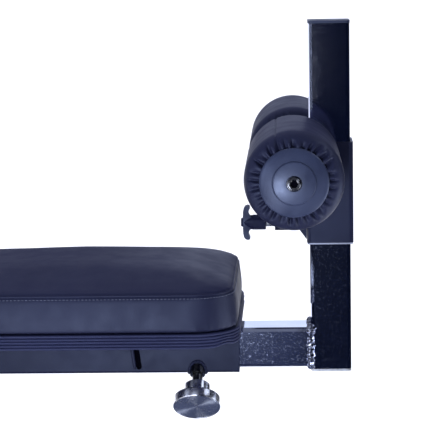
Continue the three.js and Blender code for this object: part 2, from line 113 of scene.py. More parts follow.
def vinyl(name="vinyl", ribbed=False):
    # The ribbed copy's colour is painted 1.9 times lighter: painted light that makes up for the shade between
    # the deep ribs.
    shade = 1.9 if ribbed else 1.0
    shader = Shader(name, Roughness=0.5, Specular_IOR_Level=0.3)
    shader.bsdf.inputs["Specular Tint"].default_value = COOL
    shader.tint(shader.noise(9.0), [shade * c for c in (0.0100, 0.0111, 0.029)],
                [shade * c for c in (0.0120, 0.0134, 0.0335)])
    shader.spread(shader.noise(40.0), 0.45, 0.53, "Roughness")
    shader.bump(shader.noise(55.0, 2.0), 0.05, 0.0006)
    shader.bump(shader.cells(900.0), 0.35, 0.0002)
    if ribbed:
        wave = shader.node("TexWave", Scale=260.0, Distortion=1.5, Detail=1.0)
        wave.bands_direction = "DIAGONAL"
        shader.link(shader.place, wave.inputs["Vector"])
        shader.bump(wave.outputs["Fac"], 0.6, 0.0004)
    return shader.material


def black_paint():
    shader = Shader("satin_paint", Roughness=0.38, Specular_IOR_Level=0.2)
    shader.bsdf.inputs["Specular Tint"].default_value = COOL
    shader.tint(shader.noise(14.0), (0.006, 0.007, 0.021), (0.009, 0.0105, 0.029))
    shader.spread(shader.noise(60.0), 0.32, 0.44, "Roughness")
    shader.bump(shader.noise(700.0, 1.0), 0.18, 0.0002)
    return shader.material


def chrome(name="chrome", rough=0.06, specks=0.35, marks=0.1):
    """Chrome whose pits and fine scratches show as duller specks."""
    shader = Shader(name, Metallic=1.0)
    shader.tint(shader.noise(30.0), (0.60, 0.64, 0.78), (0.70, 0.74, 0.90))
    shader.spread(shader.noise(420.0, 3.0), rough, specks, "Roughness", (0.56, 0.86))
    shader.bump(shader.noise(330.0, 4.0), marks, 0.0003)
    shader.bump(shader.noise(900.0, 2.0), marks, 0.0002)
    return shader.material


def weld():
    shader = Shader("plated_weld", Metallic=1.0, Roughness=0.14)
    shader.tint(shader.noise(190.0), (0.16, 0.17, 0.24), (0.85, 0.87, 0.97))
    shader.bump(shader.noise(420.0, 3.0), 0.5, 0.0008)
    return shader.material


def turned_steel(name="turned_steel", shade=0.80, rough=(0.2, 0.32)):
    """Steel with the fine rings and the radial glare that a lathe leaves; its object turns about local Z."""
    shader = Shader(name, Metallic=1.0, Anisotropic=0.92, Anisotropic_Rotation=0.25)
    shader.tint(shader.noise(40.0), (shade * 0.93,) * 3, (shade, shade, shade * 1.04))
    shader.spread(shader.noise(60.0), rough[0], rough[1], "Roughness")
    tangent = shader.node("Tangent")
    tangent.direction_type = "RADIAL"
    tangent.axis = "Z"
    shader.link(tangent.outputs["Tangent"], shader.bsdf.inputs["Tangent"])
    rings = shader.node("TexWave", Scale=320.0, Distortion=0.4)
    rings.wave_type = "RINGS"
    rings.rings_direction = "Z"
    shader.link(shader.place, rings.inputs["Vector"])
    shader.bump(rings.outputs["Fac"], 0.05, 0.0001)
    return shader.material


def plain_steel(name="zinc_steel", shade=0.55):
    shader = Shader(name, Metallic=1.0, Roughness=0.3)
    shader.tint(shader.noise(80.0), (shade * 0.8,) * 3, (shade,) * 3)
    shader.spread(shader.noise(120.0), 0.24, 0.42, "Roughness")
    shader.bump(shader.noise(500.0), 0.15, 0.0002)
    return shader.material


def plastic(name="moulded_plastic", low=(0.010, 0.013, 0.030), high=(0.015, 0.019, 0.042)):
    shader = Shader(name, Roughness=0.36, Specular_IOR_Level=0.5)
    shader.bsdf.inputs["Specular Tint"].default_value = COOL
    shader.tint(shader.noise(25.0), low, high)
    shader.spread(shader.noise(50.0), 0.30, 0.42, "Roughness")
    shader.bump(shader.noise(260.0, 2.0), 0.12, 0.0003)
    return shader.material


def rubber():
    shader = Shader("rubber", Roughness=0.8, Specular_IOR_Level=0.3)
    shader.tint(shader.noise(35.0), (0.009, 0.010, 0.015), (0.015, 0.016, 0.024))
    shader.bump(shader.noise(420.0, 3.0), 0.4, 0.0004)
    return shader.material


def thread():
    shader = Shader("thread", Roughness=0.6)
    shader.tint(shader.noise(300.0), (0.07, 0.08, 0.12), (0.12, 0.13, 0.18))
    return shader.material


VINYL = vinyl()
# RIBBED is the lighter vinyl, painted light for the band's shaded ribs.
RIBBED = vinyl("ribbed_vinyl", ribbed=True)
PAINT = black_paint()
CHROME = chrome(specks=0.15, marks=0.025)
WORN_CHROME = chrome("worn_chrome", 0.09, 0.22, 0.06)
WELD = weld()
TURNED = turned_steel()
# A copy of the turned steel painted much darker: painted shade on the bolts, the clamp stem, the boss and the
# lock barrel.
DARK_TURNED = turned_steel("dark_turned_steel", 0.16, (0.16, 0.26))
STEEL = plain_steel()
PLASTIC = plastic()
CAP_PLASTIC = plastic("cap_plastic", (0.020, 0.025, 0.050), (0.028, 0.035, 0.068))
LINER = plastic("liner_plastic", (0.20, 0.21, 0.26), (0.28, 0.29, 0.34))
RUBBER = rubber()
# A flat black with no sheen, used only as painted shade in the bolt sockets and the beam's slot.
SHADE_BLACK = Shader("painted_shade_black", Base_Color=(0.002, 0.002, 0.004, 1), Roughness=1.0, Specular_IOR_Level=0.0).material
THREAD = thread()


# ---- mesh helpers ----------------------------------------------------------------------------
def make(name, vertices, faces, material, body=None, stands_for=(), smooth=40):
    """A mesh piece that rides on a CAD body and may stand for CAD nodes."""
    mesh = bpy.data.meshes.new(name)
    mesh.from_pydata([tuple(v) for v in vertices], [], faces)
    mesh.validate()
    work = bmesh.new()
    work.from_mesh(mesh)
    bmesh.ops.recalc_face_normals(work, faces=work.faces)
    work.to_mesh(mesh)
    work.free()
    mesh.materials.append(material)
    piece = bpy.data.objects.new(name, mesh)
    bpy.context.collection.objects.link(piece)
    soften(piece, smooth)
    if body:
        settle(piece, body, stands_for)
    return piece


def settle(piece, body, stands_for=()):
    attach(piece, body)
    if stands_for:
        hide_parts(*stands_for)


def soften(piece, angle=40):
    """Smooth shading with sharp edges kept above an angle in degrees."""
    mesh = piece.data
    mesh.shade_smooth()
    mesh.set_sharp_from_angle(angle=math.radians(angle))


def grid_faces(rows, columns, closed=True):
    """Quads between rows of points, each row a ring if closed."""
    faces = []
    for i in range(rows - 1):
        for j in range(columns if closed else columns - 1):
            k = (j + 1) % columns
            faces.append((i * columns + j, i * columns + k, (i + 1) * columns + k, (i + 1) * columns + j))
    return faces


def turned(name, profile, centre, direction, material, body=None, stands_for=(),
           segments=72, shape=None, smooth=32):
    """A lathe piece. profile holds (radius, distance) in mm; its object's local Z is the turning axis."""
    points = []
    for radius, distance in profile:
        for j in range(segments):
            angle = 2 * math.pi * j / segments
            reach = (shape(angle, radius, distance) if shape else radius) * MM
            points.append((reach * math.cos(angle), reach * math.sin(angle), distance * MM))
    faces = grid_faces(len(profile), segments)
    for row in (0, len(profile) - 1):
        if profile[0] != profile[-1]:
            faces.append([row * segments + j for j in range(segments)])
    piece = make(name, points, faces, material, smooth=smooth)
    if profile[0] == profile[-1]:
        weld_points(piece)
    turn = Z_AXIS.rotation_difference(direction).to_matrix().to_4x4()
    piece.matrix_world = Matrix.Translation(centre) @ turn
    if body:
        settle(piece, body, stands_for)
    return piece


def weld_points(piece, distance=1e-6):
    work = bmesh.new()
    work.from_mesh(piece.data)
    bmesh.ops.remove_doubles(work, verts=work.verts, dist=distance)
    bmesh.ops.recalc_face_normals(work, faces=work.faces)
    work.to_mesh(piece.data)
    work.free()


def dress(node, material, bevel=0.5, angle=50):
    """A CAD node keeps its shape and gets a material, soft shading and rounded edges (bevel in mm)."""
    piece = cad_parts[node]
    piece.data.materials.clear()
    piece.data.materials.append(material)
    soften(piece, angle)
    if bevel:
        rounding = piece.modifiers.new("rounding", "BEVEL")
        rounding.width = bevel * MM
        rounding.segments = 2
        rounding.limit_method = "ANGLE"
        rounding.angle_limit = math.radians(angle)
        rounding.harden_normals = True
    flat = piece.modifiers.new("flat_faces", "WEIGHTED_NORMAL")
    flat.keep_sharp = True


def swept(name, path, radii, material, body, stands_for=(), sides=14, closed=True, squash=1.0):
    """A bumpy bead along a path of (point, outward direction); radii are in metres, one for each point."""
    rows = []
    count = len(path)
    for i, (place, out) in enumerate(path):
        ahead = path[(i + 1) % count][0] if closed or i + 1 < count else place
        behind = path[i - 1][0] if closed or i else place
        along = (ahead - behind).normalized()
        side = along.cross(out).normalized()
        for j in range(sides):
            angle = 2 * math.pi * j / sides
            rows.append(place + radii[i] * (math.cos(angle) * side + squash * math.sin(angle) * out))
    faces = grid_faces(count, sides)
    if closed:
        last = (count - 1) * sides
        faces += [(last + j, last + (j + 1) % sides, (j + 1) % sides, j) for j in range(sides)]
    else:
        faces += [list(range(sides)), list(range((count - 1) * sides, count * sides))]
    return make(name, rows, faces, material, body, stands_for, smooth=80)


# ---- pads --------------------------------------------------------------------------------------
PAD_CORNER = 55 * MM
SEAM_HEIGHT = 44.5 * MM     # from the cushion's underside up to the top seam
CROWN = 4.5 * MM            # the top panel's middle stands this much above its cut shape
TUCK = 1.6 * MM             # how far the top seam draws the cover in
SAG = 2.2 * MM              # the cover's lower edge hangs this far below the board
SEAM_INSET = 6 * MM         # and this far in from the board's edge
RIBS = 5
VOXEL = 5 * MM


def outline(low, high, inset=0.0, step=4 * MM):
    """Points (place, outward) round a rectangle with round corners, in even steps."""
    radius = PAD_CORNER - inset
    x = (low.x + PAD_CORNER, high.x - PAD_CORNER)
    y = (low.y + PAD_CORNER, high.y - PAD_CORNER)
    corners = ((x[1], y[0], -90), (x[1], y[1], 0), (x[0], y[1], 90), (x[0], y[0], 180))
    turns = max(8, round(math.pi / 2 * PAD_CORNER / step))
    points = []
    for k, (cx, cy, start) in enumerate(corners):
        for i in range(turns):
            angle = math.radians(start + 90 * i / turns)
            out = Vector((math.cos(angle), math.sin(angle), 0))
            points.append((Vector((cx, cy, 0)) + radius * out, out))
        out = Vector((math.cos(math.radians(start + 90)), math.sin(math.radians(start + 90)), 0))
        begin = Vector((cx, cy, 0)) + radius * out
        nx, ny, _ = corners[(k + 1) % 4]
        end = Vector((nx, ny, 0)) + radius * out
        steps = max(2, round((end - begin).length / step))
        points += [(begin.lerp(end, i / steps), out) for i in range(steps)]
    return points


def loft(points, profile):
    """Vertices and faces of rings that follow an outline; profile holds (outward shift, height)."""
    vertices = [p + shift * out + Vector((0, 0, height)) for shift, height in profile for p, out in points]
    count = len(points)
    faces = grid_faces(len(profile), count)
    faces.append(list(range(count)))
    faces.append(list(range((len(profile) - 1) * count, len(profile) * count)))
    return vertices, faces


def inflate(piece, pinned, pressure, most, frames=20, smoothing=16):
    """Blows a closed cover up as cloth round its pinned points; no point moves further than most."""
    mesh = piece.data
    rest = [v.co.copy() for v in mesh.vertices]
    group = piece.vertex_groups.new(name="pinned")
    group.add([v.index for v in mesh.vertices if pinned(v.co)], 1.0, "REPLACE")
    cloth = piece.modifiers.new("cover", "CLOTH")
    cloth.point_cache.frame_start = 1
    cloth.point_cache.frame_end = frames
    settings = cloth.settings
    settings.quality = 6
    settings.mass = 0.4
    settings.tension_stiffness = settings.compression_stiffness = 22
    settings.shear_stiffness = 12
    settings.bending_stiffness = 2.0
    settings.use_pressure = True
    settings.uniform_pressure_force = pressure
    settings.effector_weights.gravity = 0
    settings.vertex_group_mass = "pinned"
    for step in range(1, frames + 1):
        bpy.context.scene.frame_set(step)
    shaped = piece.evaluated_get(bpy.context.evaluated_depsgraph_get())
    moved = [v.co.copy() for v in shaped.data.vertices]
    piece.modifiers.remove(cloth)
    for vertex, start, end in zip(mesh.vertices, rest, moved):
        shift = end - start
        if shift.length > most:
            shift *= most / shift.length
        vertex.co = start + shift
    bpy.context.scene.frame_set(1)
    free = [not pinned(start) for start in rest]
    work = bmesh.new()
    work.from_mesh(mesh)
    work.verts.ensure_lookup_table()
    for _ in range(smoothing):
        bmesh.ops.smooth_vert(work, verts=[v for v in work.verts if free[v.index]], factor=0.5,
                              use_axis_x=True, use_axis_y=True, use_axis_z=True)
    work.to_mesh(mesh)
    work.free()


def remesh(piece, size):
    voxels = piece.modifiers.new("voxels", "REMESH")
    voxels.mode = "VOXEL"
    voxels.voxel_size = size
    shaped = piece.evaluated_get(bpy.context.evaluated_depsgraph_get())
    mesh = bpy.data.meshes.new_from_object(shaped)
    piece.modifiers.remove(voxels)
    piece.data = mesh


def cushion(prefix, body):
    """The stuffed cover: a crowned top panel sewn to a side panel, blown up as cloth."""
    low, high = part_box(f"{prefix}_cushion")
    seam = low.z + SEAM_HEIGHT
    edge = outline(low, high)
    side = [(-12 * MM, low.z), (-2 * MM, low.z), (-1.5 * MM, low.z + 3 * MM),
            (-3 * MM, (low.z + seam) / 2), (-SEAM_INSET, seam)]
    crown = [(-SEAM_INSET - d * MM, high.z - h * MM)
             for d, h in ((3, 12.6), (7, 9.8), (13, 7.8), (22, 5.8), (34, 4.0), (47, 2.6))]
    vertices, faces = loft(edge, side + crown)
    piece = make(f"{prefix}_cover", vertices, faces, VINYL)
    remesh(piece, VOXEL)
    sew = BVHTree.FromPolygons([tuple(p - SEAM_INSET * out + Vector((0, 0, z)))
                                for z in (seam - 1 * MM, seam + 1 * MM) for p, out in edge],
                               grid_faces(2, len(edge)))

    def pinned(place):
        return place.z < low.z + 4 * MM or sew.find_nearest(place)[3] < 3.2 * MM

    inflate(piece, pinned, 4.0, 6 * MM)
    for vertex in piece.data.vertices:
        vertex.co += crown_shift(vertex.co, low, high, seam)
    finer = piece.modifiers.new("finer", "SUBSURF")
    finer.levels = finer.render_levels = 1
    piece.data.shade_smooth()
    settle(piece, body, (f"{prefix}_cushion",))
    seam_line(prefix, piece, edge, seam, body)


def ramp_up(value, start, end):
    t = min(1.0, max(0.0, (value - start) / (end - start)))
    return t * t * (3 - 2 * t)


def crown_shift(place, low, high, seam):
    """Raises the middle of the top panel and draws the cover in along the seam."""
    from_x = min(place.x - low.x, high.x - place.x)
    from_y = min(place.y - low.y, high.y - place.y)
    above = ramp_up(place.z, seam + 6 * MM, seam + 11 * MM)
    lift = CROWN * above * ramp_up(from_x, 20 * MM, 210 * MM) * ramp_up(from_y, 10 * MM, 85 * MM)
    inward = Vector((0, 0, 0))
    if min(from_x, from_y) < 14 * MM:
        near = 1 - ramp_up(abs(place.z - seam - 1.5 * MM), 0.5 * MM, 5.5 * MM)
        corner = Vector((max(low.x + PAD_CORNER, min(high.x - PAD_CORNER, place.x)),
                         max(low.y + PAD_CORNER, min(high.y - PAD_CORNER, place.y)), place.z))
        inward = (corner - place).normalized() * TUCK * near
    return Vector((0, 0, lift)) + inward


def surface(piece):
    """A search tree of a piece's shape with its modifiers, in the row frame."""
    graph = bpy.context.evaluated_depsgraph_get()
    shaped = piece.evaluated_get(graph)
    mesh = shaped.to_mesh()
    places = [shaped.matrix_world @ v.co for v in mesh.vertices]
    faces = [tuple(p.vertices) for p in mesh.polygons]
    tree = BVHTree.FromPolygons(places, faces)
    shaped.to_mesh_clear()
    return tree


def seam_line(prefix, cover, edge, height, body):
    """A narrow welt on the seam and a row of stitches just below it, laid on the cover's surface."""
    skin = surface(cover)
    welt = []
    for place, out in edge:
        start = place + 20 * MM * out + Vector((0, 0, height))
        hit = skin.ray_cast(start, -out)[0] or place - SEAM_INSET * out + Vector((0, 0, height))
        welt.append((hit, (out + Z_AXIS * 0.4).normalized()))
    swept(f"{prefix}_welt", welt, [1.25 * MM] * len(welt), VINYL, body,
          sides=10, squash=0.9)
    length = sum((welt[i][0] - welt[i - 1][0]).length for i in range(len(welt)))
    pitch, size = 4.2 * MM, 2.7 * MM
    vertices, faces = [], []
    for k in range(int(length / pitch)):
        along = k * len(welt) / int(length / pitch)
        i = int(along)
        place = edge[i][0].lerp(edge[(i + 1) % len(edge)][0], along - i)
        out = edge[i][1]
        hit, normal = skin.ray_cast(place + 20 * MM * out + Vector((0, 0, height - 3.6 * MM)), -out)[:2]
        if hit:
            stitch(vertices, faces, hit, normal, out.cross(Z_AXIS).normalized(), size)
    make(f"{prefix}_stitches", vertices, faces, THREAD, body, smooth=80)


def stitch(vertices, faces, place, normal, along, size, thick=0.42 * MM):
    """Adds one sewn stitch: a short thread that dips into the cover at both ends."""
    across_it = along.cross(normal).normalized()
    start = len(vertices)
    sides = 5
    steps = ((-0.5, -0.9), (-0.3, 0.5), (0.0, 0.8), (0.3, 0.5), (0.5, -0.9))
    for position, lift in steps:
        for j in range(sides):
            angle = 2 * math.pi * j / sides
            ring = math.cos(angle) * across_it + math.sin(angle) * normal
            vertices.append(place + position * size * along + lift * thick * normal + thick * ring)
    faces += [tuple(start + i for i in face) for face in grid_faces(len(steps), sides)]


def ribbed_band(prefix, body):
    """The board's cover: rows of padded ribs round the edge and a flat underside."""
    low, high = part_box(f"{prefix}_board")
    edge = outline(low, high, step=3 * MM)
    pitch = (high.z - low.z) / RIBS
    profile = [(-14 * MM, low.z), (-3 * MM, low.z)]
    steps = 6
    for rib in range(RIBS):
        proud = (3.3 if rib % 2 else 2.8) * MM
        for i in range(steps + 1):
            angle = math.pi * (i + 0.5) / (steps + 1)
            shift = -3.1 * MM + proud * math.sin(angle) ** 0.8
            profile.append((shift, low.z + pitch * (rib + 0.5 - 0.48 * math.cos(angle))))
    profile += [(-3 * MM, high.z), (-14 * MM, high.z)]
    vertices, faces = loft(edge, profile)
    vertices = [hang(v, low, high) for v in vertices]
    piece = make(f"{prefix}_ribbed_band", vertices, faces, RIBBED, body, (f"{prefix}_board",),
                 smooth=50)
    staples(prefix, low, high, body)


def hang(place, low, high):
    """Lets the band's lower edge hang below the board, but not where it crosses the beam."""
    clear = ramp_up(abs(place.y), 34 * MM, 125 * MM)
    outer = min(1.0, max(0.0, 1 - (min(place.x - low.x, high.x - place.x,
                                       place.y - low.y, high.y - place.y) - 8 * MM) / (5 * MM)))
    depth = (high.z - place.z) / (high.z - low.z)
    return place - Vector((0, 0, SAG * clear * outer * depth))


def staples(prefix, low, high, body):
    """Staples along the tucked-in edge of the cover, under the board."""
    vertices, faces = [], []
    for place, out in outline(low, high, inset=18 * MM, step=28 * MM):
        along = out.cross(Z_AXIS).normalized()
        stitch(vertices, faces, place + Vector((0, 0, low.z)), -Z_AXIS, along, 9 * MM, 0.4 * MM)
    make(f"{prefix}_staples", vertices, faces, STEEL, body, smooth=80)


# ---- rollers -----------------------------------------------------------------------------------
def roller(side_name, side):
    """A foam roller in a vinyl sleeve, gathered into pleats under the end caps."""
    node = f"roller_pad_{side_name}"
    body = f"roller_{side_name}"
    low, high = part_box(node)
    centre = (low + high) / 2
    radius = (high.z - low.z) / 2 / MM
    length = (high.y - low.y) / MM
    hole, gathered, rounding = 16.6, 35.5, 19.0
    sleeve_line = math.radians(112 if side < 0 else 250)
    around, pleats = 496, 29
    profile = [(hole, 1.5), (hole + 6, 0.6), (26, 0.4)]
    profile += [(r, 0.4) for r in (30, 33, 35.5)]
    profile += end_curve(radius, gathered, rounding)
    straight = 24
    begin, finish = rounding + 4, length - rounding - 4
    profile += [(radius, begin + (finish - begin) * i / straight) for i in range(straight + 1)]
    profile += [(r, length - d) for r, d in reversed(end_curve(radius, gathered, rounding))]
    profile += [(r, length - 0.4) for r in (35.5, 33, 30)]
    profile += [(26, length - 0.4), (hole + 6, length - 0.6), (hole, length - 1.5)]
    outward = Y_AXIS * side
    start = Vector((centre.x, low.y if side > 0 else high.y, centre.z))
    first = X_AXIS
    second = Z_AXIS
    vertices = []
    for r, d in profile:
        for j in range(around):
            angle = 2 * math.pi * j / around
            ring = math.cos(angle) * first + math.sin(angle) * second
            vertices.append(start + r * MM * ring + d * MM * outward)
    faces = grid_faces(len(profile), around)
    last = (len(profile) - 1) * around
    faces += [(last + j, last + (j + 1) % around, (j + 1) % around, j) for j in range(around)]
    piece = make(f"roller_cover_{side_name}", vertices, faces, VINYL, smooth=180)

    def pinned(place):
        reach = math.hypot(place.x - start.x, place.z - start.z) / MM
        return reach < gathered

    inflate(piece, pinned, 3.0, 2.0 * MM, frames=10, smoothing=2)
    for vertex in piece.data.vertices:
        vertex.co += pleat_shift(vertex.co, start, outward, length, pleats, sleeve_line)
    settle(piece, body, (node,))


def end_curve(radius, gathered, rounding):
    """Profile points of a roller's rounded end, from the cap's edge out to the full radius."""
    points = []
    steps = 14
    for i in range(steps + 1):
        angle = math.radians(90) * i / steps
        r = gathered + (radius - gathered) * math.sin(angle) ** 0.85
        d = 0.4 + (rounding + 1) * (1 - math.cos(angle)) ** 1.15
        points.append((r, d))
    return points


def pleat_shift(place, start, outward, length, pleats, sleeve_line):
    """How far a point of the cover moves for the gathered pleats, the seam and small unevenness."""
    out = place - start
    distance = out.dot(outward) / MM
    flat = Vector((out.x, 0, out.z))
    reach = flat.length / MM
    if reach < 20:
        return Vector((0, 0, 0))
    direction = flat.normalized()
    angle = math.atan2(out.z, out.x)
    from_end = min(distance, length - distance)
    facing = -outward if distance < length / 2 else outward
    around = Vector((math.cos(angle), math.sin(angle), facing.y))
    longest = 51 + 6 * noise.noise(around * 4.3)
    tuck = max(0.0, min(1.0, (longest - reach) / 8)) * min(1.0, max(0.0, (reach - 34.5) / 3))
    tuck = tuck * tuck * (3 - 2 * tuck) if from_end < 24 else 0.0
    wander = 0.11 * noise.noise(around * 2.1 + Vector((0, 0, 5)))
    lean = 0.010 * (reach - 40) * noise.noise(around * 3.1 + Vector((9, 0, 0)))
    depth = 0.8 + 0.7 * noise.noise(around * 5.3 + Vector((0, 7, 0)))
    wave = 0.5 + 0.5 * math.sin(pleats * (angle + wander + lean))
    fold = wave ** 1.6
    shift = 5.2 * MM * tuck * depth * (0.35 - fold) * facing
    shift += -0.9 * MM * tuck * fold * direction
    gap = (angle - sleeve_line + math.pi) % (2 * math.pi) - math.pi
    seam = math.exp(-((gap * reach / 1.1) ** 2)) if reach > 36 else 0.0
    shift += -1.5 * MM * seam * (direction if from_end > 12 else facing)
    uneven = noise.noise(place * 24) * 0.15
    shift += uneven * MM * direction * min(1.0, max(0.0, (reach - 38) / 6))
    return shift


def roller_cap(side_name, side):
    """The domed end cap with one raised ring and a sunk middle for the bolt."""
    low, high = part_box(f"roller_cap_{side_name}")
    centre = (low + high) / 2
    centre.y = low.y if side > 0 else high.y
    profile = [(6.2, 0), (30, 0), (37.4, 0), (38.3, 0.5), (38.5, 1.4), (38.1, 2.4), (37.2, 3.3), (35.2, 4.3),
               (32, 5.4), (28.5, 6.4), (25.2, 7.2), (24.6, 7.35), (24.4, 7.2), (24.1, 7.3), (23.9, 8.3),
               (23.4, 8.8), (22.4, 9.0), (18, 9.7), (13, 10.2), (9.6, 10.4), (8.9, 10.4), (8.6, 10.1),
               (8.5, 9.2), (6.2, 9.2), (6.2, 0)]
    turned(f"roller_end_{side_name}", profile, centre, Y_AXIS * side, CAP_PLASTIC, f"roller_{side_name}",
           (f"roller_cap_{side_name}",), segments=128, smooth=35)


def axle_bolt(side_name, side):
    """A button bolt with a hexagon socket, on a thin washer."""
    low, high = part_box(f"axle_bolt_{side_name}")
    tip = high.y if side > 0 else low.y
    centre = Vector(((low.x + high.x) / 2, tip, (low.z + high.z) / 2))

    def socket(angle, radius, distance):
        if radius > 4.7:
            return radius
        return radius * 0.92 / math.cos((angle % math.radians(60)) - math.radians(30))

    profile = [(0.05, -3.6), (4.2, -3.6), (4.2, -0.9), (4.9, -0.35), (5.6, -0.1), (6.4, -0.3), (7.1, -1.0),
               (7.5, -2.2), (7.6, -3.2), (8.0, -3.3), (8.1, -3.9), (8.1, -5.2), (6, -5.2), (0.05, -5.2)]
    turned(f"button_bolt_{side_name}", profile, centre, Y_AXIS * side, DARK_TURNED, "sleeve_body",
           (f"axle_bolt_{side_name}",), shape=socket, smooth=30)


def socket_shadow(side_name, side):
    """A black disc at the bottom of the bolt's socket: painted shade that darkens the deep socket."""
    low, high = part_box(f"axle_bolt_{side_name}")
    tip = high.y if side > 0 else low.y
    centre = Vector(((low.x + high.x) / 2, tip, (low.z + high.z) / 2))
    profile = [(0.05, -3.55), (4.1, -3.55), (4.1, -2.2), (4.0, -2.0), (3.8, -3.2), (0.05, -3.2)]
    turned(f"socket_shadow_{side_name}", profile, centre, Y_AXIS * side, SHADE_BLACK, "sleeve_body")


# ---- leg hold-down -------------------------------------------------------------------------------
def weld_bead():
    """The chunky plated weld between the slide tube and the post, laid as a row of overlapping drops."""
    tube_low, tube_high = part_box("slide_tube")
    post_low, post_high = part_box("post_tube")
    x = post_low.x
    half = (post_high.y - post_low.y) / 2
    top, bottom = tube_high.z, tube_low.z
    path = []
    steps = 64

    def run(start, end, first, last):
        for i in range(steps):
            t = i / steps
            path.append((start.lerp(end, t), first.lerp(last, t).normalized()))

    up, down = Vector((-0.5, 0, 1)).normalized(), Vector((-0.5, 0, -1)).normalized()
    near, far = Vector((0, -1, 0)), Vector((0, 1, 0))
    sunk = 0.8 * MM
    corners = [Vector((x, -half + sunk, bottom)), Vector((x, -half + sunk, top)),
               Vector((x, half - sunk, top)), Vector((x, half - sunk, bottom))]
    run(corners[0], corners[1], near, near)
    run(corners[1], corners[2], up, up)
    run(corners[2], corners[3], far, far)
    run(corners[3], corners[0], down, down)
    radii = []
    for i, (place, out) in enumerate(path):
        drop = abs(math.sin(i * 0.41 + 1.6 * noise.noise(place * 300)))
        corner = max(0.0, 1 - (top - place.z) / (8 * MM)) if out.y < -0.5 else 0.0
        radii.append((3.3 + 1.8 * drop + 1.8 * noise.noise(place * 160) + 1.2 * corner) * MM)
    bead = swept("weld_seam", path, radii, WELD, None, sides=18, squash=0.8)
    for vertex in bead.data.vertices:
        vertex.co += noise.noise_vector(vertex.co * 260) * 1.2 * MM
    finer = bead.modifiers.new("finer", "SUBSURF")
    finer.levels = finer.render_levels = 1
    settle(bead, "leg_hold", ("weld_bead",))


def sleeve_liner():
    """The plastic liner's thin flange below the sleeve."""
    low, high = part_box("sleeve")
    centre = (low + high) / 2
    outer, inner = (high.x - low.x) / 2 - 0.5 * MM, (high.x - low.x) / 2 - 3 * MM
    rings = []
    for half, z in ((outer, low.z - 1.8 * MM), (outer, low.z), (inner, low.z), (inner, low.z - 1.8 * MM)):
        radius = 4.5 * MM - (outer - half)
        radius = max(radius, 1 * MM)
        for cx, cy, start in ((1, -1, -90), (1, 1, 0), (-1, 1, 90), (-1, -1, 180)):
            for i in range(7):
                angle = math.radians(start + 15 * i)
                rings.append(Vector((centre.x + cx * (half - radius) + radius * math.cos(angle),
                                     cy * (half - radius) + radius * math.sin(angle), z)))
    count = 28
    faces = grid_faces(4, count)
    faces += [(3 * count + j, 3 * count + (j + 1) % count, (j + 1) % count, j) for j in range(count)]
    make("sleeve_liner", rings, faces, LINER, "sleeve_body")


def leg_hold():
    dress("slide_tube", WORN_CHROME, 0)
    dress("post_tube", CHROME, 0)
    dress("post_top_cap", PLASTIC, 0.8)
    dress("post_bottom_cap", STEEL, 0.4)
    weld_bead()
    dress("sleeve", PAINT, 0.4)
    dress("pin_barrel", PAINT, 0.4)
    dress("axle_bar", PAINT, 0.4)
    dress("pin_handle", PAINT, 0.9, angle=35)
    dress("pull_pin", STEEL, 0.3)
    sleeve_liner()
    for side_name, side in SIDES:
        roller(side_name, side)
        roller_cap(side_name, side)
        axle_bolt(side_name, side)
        socket_shadow(side_name, side)


# ---- clamp under the beam -------------------------------------------------------------------------
def clamp():
    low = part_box("main_beam")[0]
    knob_low, knob_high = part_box("clamp_knob")
    corner = Vector(((knob_low.x + knob_high.x) / 2, low.y, low.z))
    down = Vector((0, -1, -1)).normalized()
    knob = [(0.05, 17.3), (12.5, 17.3), (14.8, 17.6), (16, 18.8), (16, 36.0), (26.2, 36.3), (28.3, 36.7),
            (29.0, 37.5), (29.2, 38.4), (29.2, 47.2), (28.9, 48.2), (28.1, 48.9), (27.1, 49), (26.6, 48.6),
            (20, 48.25), (12, 48.05), (5, 48.0), (1.2, 48.0), (0.05, 47.8)]
    turned("turned_knob", knob, corner, down, TURNED, "clamp", ("clamp_knob",), segments=144)
    screw = [(0.05, -8.3), (4.2, -8.3), (4.9, -7.4), (4.9, 2.9), (5.9, 2.9),
             (6.4, 3.4), (6.4, 16.5), (5.9, 17), (0.05, 17)]
    turned("clamp_stem", screw, corner, down, DARK_TURNED, "clamp", ("clamp_screw",))
    dress("clamp_boss", DARK_TURNED, 0.8)
    across_x, slanted = X_AXIS, Vector((0, 1, -1)).normalized()
    path, radii = [], []
    steps, reach = 90, 10.6 * MM
    for i in range(steps):
        angle = 2 * math.pi * i / steps
        slide = reach * math.sin(angle)
        place = corner + reach * math.cos(angle) * across_x + slide * slanted - abs(slide) * down
        outward = math.cos(angle) * across_x + math.sin(angle) * slanted
        path.append((place, (down + 0.4 * outward).normalized()))
        radii.append((1.5 + 0.6 * abs(math.sin(i * 0.7)) + 0.5 * noise.noise(place * 200)) * MM)
    swept("boss_weld", path, radii, PAINT, "frame", sides=12)


def beam_slot_lip():
    """A thin raised strip beside the slanted slot in the beam's near wall."""
    low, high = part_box("main_beam")
    tilt = math.radians(7.2)
    slot_x = high.x - 127.5 * MM
    middle = Vector((slot_x - 5.4 * MM, low.y, low.z + 27.3 * MM))
    along = Vector((-math.sin(tilt), 0, math.cos(tilt)))
    path = []
    steps = 40
    for i in range(steps + 1):
        t = (i / steps - 0.5) * 45 * MM
        path.append((middle + along * t, Vector((0, -1, 0))))
    radii = [2.1 * MM * min(1.0, 0.4 + 6 * min(i, steps - i) / steps) for i in range(steps + 1)]
    swept("slot_lip", path, radii, PAINT, "frame", sides=12, closed=False, squash=0.35)
    # A flat near-black card just inside the slot's wall: painted shade that keeps the slot dark.
    wall, thick, long = 3.75 * MM, 0.5 * MM, 20 * MM
    y = low.y + wall
    spots = [Vector((slot_x + a * long, y + b * thick, (low.z + high.z) / 2 + c * 26 * MM))
             for b in (0, 1) for a, c in ((-1, -1), (1, -1), (1, 1), (-1, 1))]
    sides = [(0, 1, 2, 3), (4, 5, 6, 7), (0, 1, 5, 4), (1, 2, 6, 5), (2, 3, 7, 6), (3, 0, 4, 7)]
    make("slot_shadow_fill", spots, sides, SHADE_BLACK, "frame")


